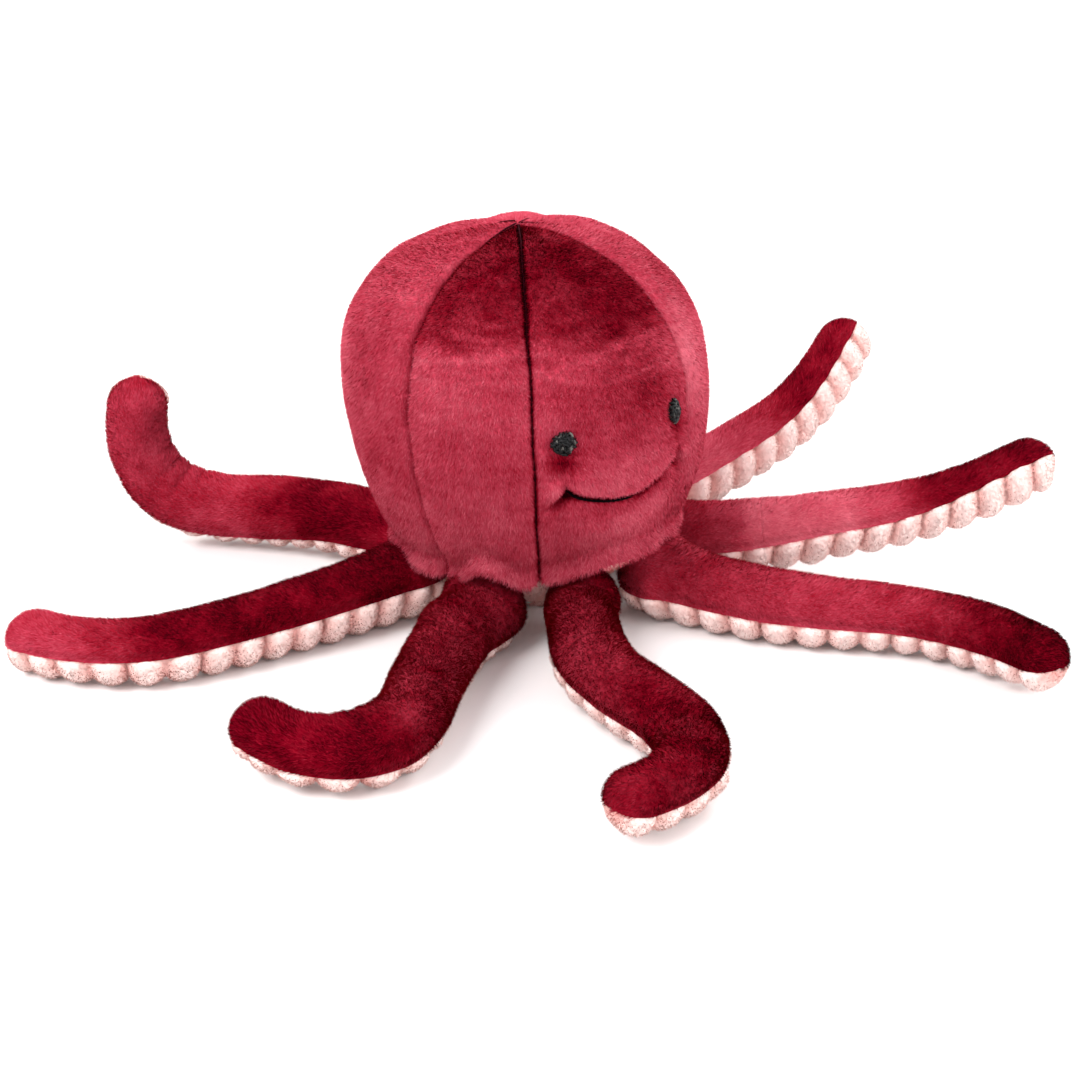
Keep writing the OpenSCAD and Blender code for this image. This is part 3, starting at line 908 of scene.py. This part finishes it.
def arm_surface(arm, s, share, angle, underside):
    """The fabric's surface over a grid of distances and angles, and how deep it lies between ribs."""
    s = np.broadcast_to(s[:, None], (len(s), len(angle)))
    share = np.broadcast_to(share[:, None], s.shape)
    angle = np.broadcast_to(angle, s.shape)
    ahead, up, across = arm.vectors(np.clip(s, 0, ARM_LEN))
    centre = arm.centre(s) + (ASIDE[arm.k - 1] * ease((14 - s) / 16))[..., None] * across
    a = np.radians(angle)
    # the root spreads under the hem, and its top rises to meet it
    upper = np.clip(np.cos(a + np.radians(arm.roll[0])), 0, 1)
    under_hem = np.exp(-((np.clip(s + 5, 0, None) / 5.5) ** 2))
    above_middle = ease(0.9 + np.cos(a + np.radians(arm.roll[0])))
    wide = 1 + SPREAD[arm.k - 1] * under_hem * above_middle - NECK[arm.k - 1] * hill(s, 2, 14)
    out = np.cos(a)[..., None] * up + (wide * np.sin(a))[..., None] * across
    to_seam = np.abs(np.abs(np.where(angle > 180, angle - 360, angle)) - 90) * np.radians(1) * ARM_R
    full = arm.radius(s) + 0.45 * np.clip(-3 - s, 0, 8) * upper**2
    smooth = centre + (full * share)[..., None] * out
    wander = 0.5 * lumps(smooth + 40 * arm.k, 26, 51) + 0.3 * lumps(smooth + 40 * arm.k, 10, 52)
    toward_up, toward_across = arm.bend(s)
    inner_side = toward_up * np.cos(a) + toward_across * np.sin(a)
    # the cloth bunches up on the inner side of a bend, with shallow wrinkles across it
    bunched = np.clip(inner_side - 0.010, 0, 0.04) * (55 - 22 * np.abs(np.sin(s / 3.4 + arm.k)) ** 6)
    if underside:
        aslant = SLANT[arm.k - 1] * (180 - angle) / 90
        rib = np.abs(np.sin(math.pi * (s - 2.5 - aslant) / RIB_PITCH)) ** 0.6
        seam = np.exp(-((to_seam / 2.2) ** 2))
        radius = full - 3.0 + (3.8 - 1.6 * seam) * rib - 0.7 * seam + wander
        radius = radius + 0.25 * lumps(smooth, 2.2, 53)
    else:
        rib = np.ones_like(s)
        radius = full + wander + bunched - 0.8 * np.exp(-((to_seam / 1.8) ** 2))
    points = centre + (radius * share)[..., None] * out
    height = points[..., 2]
    points[..., 2] = np.where(height < 1.6, 0.35 + 1.25 * np.exp((height - 1.6) / 1.25), height)
    return points, ahead, rib, to_seam


def blend_along(piece, arm, body_a, body_b, s0, s1):
    """Works out where the two distances lie on the centre line, and bakes the piece's placement into its
    mesh.
    """
    start, end = arm.centre(np.array([s0, s1])) * MM
    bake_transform(piece)


def underside_patch(points, middle, rib, to_seam):
    """The ribbed fabric, with tufts that are short by the seams and curl every way."""
    swirl = np.gradient(points, axis=1)
    # painted shade in the grooves between the ribs, lighter on their tops
    shade = -0.02 + 0.88 * rib + 0.10 * lumps(points, 2.0, 61)
    tuft = 0.05 + 0.95 * ease((to_seam - 1.0) / 3)
    return Patch(points, middle, unit(swirl), np.clip(shade, -0.04, 1), tuft)


def top_patch(k, s, points, middle, ahead, to_seam):
    """The plush, whose pile lies along the tentacle and wanders."""
    place = s[:, None] + 5 * lumps(points + 60 * k, 11, 66) + 2 * lumps(points, 3, 67)
    # the level from ARM_SHADE is partly the way the pile lies, partly painted light and painted shade
    level = np.interp(place, np.linspace(0, ARM_LEN, 5), ARM_SHADE[k - 1])
    shade = level + 0.13 * lumps(points + 60 * k, 20, 62) + 0.09 * lumps(points, 6, 63)
    # painted light along the edges by the seams, and fine random speckle
    shade = shade + 0.06 * np.exp(-((to_seam / 3) ** 2)) + 0.05 * lumps(points, 2.2, 64)
    nap = ahead + 0.45 * lumps(points, 18, 65)[..., None] * unit(np.gradient(points, axis=1))
    return Patch(points, middle, nap, np.clip(shade, -0.05, 0.98), 1.9)


def make_arm(k):
    arm = Arm(k)
    inner, outer = f"tentacle_{k}_inner", f"tentacle_{k}_outer"
    # the halves meet nearer the root than the joint
    halves = [
        ("root", inner, (0.0, SPLIT, False, True), ("head", inner, -7.0, 14.0)),
        ("end", outer, (SPLIT, ARM_LEN, True, False), (inner, outer, HALF - 14, HALF + 12)),
    ]
    for half, node, span, bend in halves:
        s, share = tube_stations(arm, *span)
        middle = arm.centre(s)[:, None]
        name = f"tentacle_{k}_{half}"
        lot = 10 * k + (half == "end")

        points, ahead, rib, to_seam = arm_surface(arm, s, share, np.linspace(-97, 97, 45), False)
        patch = top_patch(k, s, points, middle, ahead, to_seam)
        skin = patch.shell(name + "_top", plush_backing, 1.0)
        pile = pile_of(name + "_top_pile", patch, plush_fibres, per_mm2=8.5, width=0.24, lift=36,
                       spread=22, seed=2000 + lot, mottle=0.09)
        finish_arm_panel(arm, skin, pile, node + "_top", bend)

        points, ahead, rib, to_seam = arm_surface(arm, s, share, np.linspace(90, 270, 49), True)
        patch = underside_patch(points, middle, rib, to_seam)
        skin = patch.shell(name + "_underside", corduroy_backing, 0.9)
        pile = pile_of(name + "_underside_tufts", patch, pink_fibres, per_mm2=6.0, width=0.36, lift=48,
                       spread=80, seed=1000 + lot, mottle=0.10)
        finish_arm_panel(arm, skin, pile, node + "_underside", bend)

        make_arm_filling(arm, name, node, s, share, bend)


def finish_arm_panel(arm, skin, pile, node, bend):
    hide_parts(node)
    for piece in (skin, pile):
        blend_along(piece, arm, *bend)


def make_arm_filling(arm, name, node, s, share, bend):
    angle = np.linspace(-180, 180, 25)
    grid_s = np.broadcast_to(s[::3, None], (len(s[::3]), len(angle)))
    ahead, up, across = arm.vectors(np.clip(grid_s, 0, ARM_LEN))
    a = np.radians(np.broadcast_to(angle, grid_s.shape))
    out = np.cos(a)[..., None] * up + np.sin(a)[..., None] * across
    reach = (arm.radius(grid_s) - 4.6) * share[::3, None] + 0.5 * np.sin(5 * a + grid_s)
    points = arm.centre(grid_s) + reach[..., None] * out
    patch = Patch(points, arm.centre(s[::3])[:, None], ahead)
    filling = patch.shell(name + "_filling", stuffing_fibre, 1.5)
    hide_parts(node + "_stuffing")
    blend_along(filling, arm, *bend)


for arm_number in range(1, ARM_COUNT + 1):
    make_arm(arm_number)

# ---- Studio ----


def make_floor():
    size = 6.0
    mesh = bpy.data.meshes.new("floor")
    corners = [(-size, -size, 0), (size, -size, 0), (size, size, 0), (-size, size, 0)]
    mesh.from_pydata(corners, [], [(0, 1, 2, 3)])
    floor = bpy.data.objects.new("floor", mesh)
    bpy.context.scene.collection.objects.link(floor)
    mesh.materials.append(new_material("floor_white", (0.93, 0.93, 0.93, 1), 0.9, specular=0.1))


def add_light(name, place, aim, size, power):
    data = bpy.data.lights.new(name, "AREA")
    data.shape = "DISK"
    data.size = size
    data.energy = power
    light = bpy.data.objects.new(name, data)
    light.location = place
    light.rotation_euler = (Vector(aim) - Vector(place)).to_track_quat("-Z", "Y").to_euler()
    bpy.context.scene.collection.objects.link(light)


CAMERA_AZIMUTH = -32.0
CAMERA_ELEVATION = 25.0
CAMERA_DISTANCE = 0.7325
LENS = 68.6


def from_camera(right, toward, up):
    """A point given to the right of, towards and above the origin as the camera sees it, in metres."""
    a = math.radians(CAMERA_AZIMUTH)
    return Vector((
        right * math.cos(a) + toward * math.sin(a),
        right * math.sin(a) - toward * math.cos(a),
        up,
    ))


def make_camera():
    data = bpy.data.cameras.new("camera")
    data.lens = LENS
    data.sensor_width = 36
    data.clip_start = 0.01
    camera = bpy.data.objects.new("camera", data)
    e = math.radians(CAMERA_ELEVATION)
    camera.location = from_camera(0, CAMERA_DISTANCE * math.cos(e), CAMERA_DISTANCE * math.sin(e))
    aim = from_camera(0.0018, 0, 0.0200)
    camera.rotation_euler = (aim - camera.location).to_track_quat("-Z", "Y").to_euler()
    bpy.context.scene.collection.objects.link(camera)
    bpy.context.scene.camera = camera


def make_studio():
    make_floor()
    make_camera()
    centre = (0, 0, 0.05)
    add_light("key", from_camera(-0.7, 0.7, 1.1), centre, size=0.9, power=18)
    add_light("fill", from_camera(1.0, 0.6, 0.6), centre, size=0.9, power=7)
    add_light("rim_left", from_camera(-0.7, -0.9, 0.7), centre, size=0.6, power=8)
    add_light("rim_right", from_camera(0.8, -0.8, 0.8), centre, size=0.6, power=9)
    world = bpy.data.worlds.new("studio")
    world.use_nodes = True
    background = world.node_tree.nodes["Background"]
    background.inputs["Color"].default_value = (1, 1, 1, 1)
    background.inputs["Strength"].default_value = 0.92
    bpy.context.scene.world = world
    bpy.context.scene.view_settings.view_transform = "Standard"


make_studio()
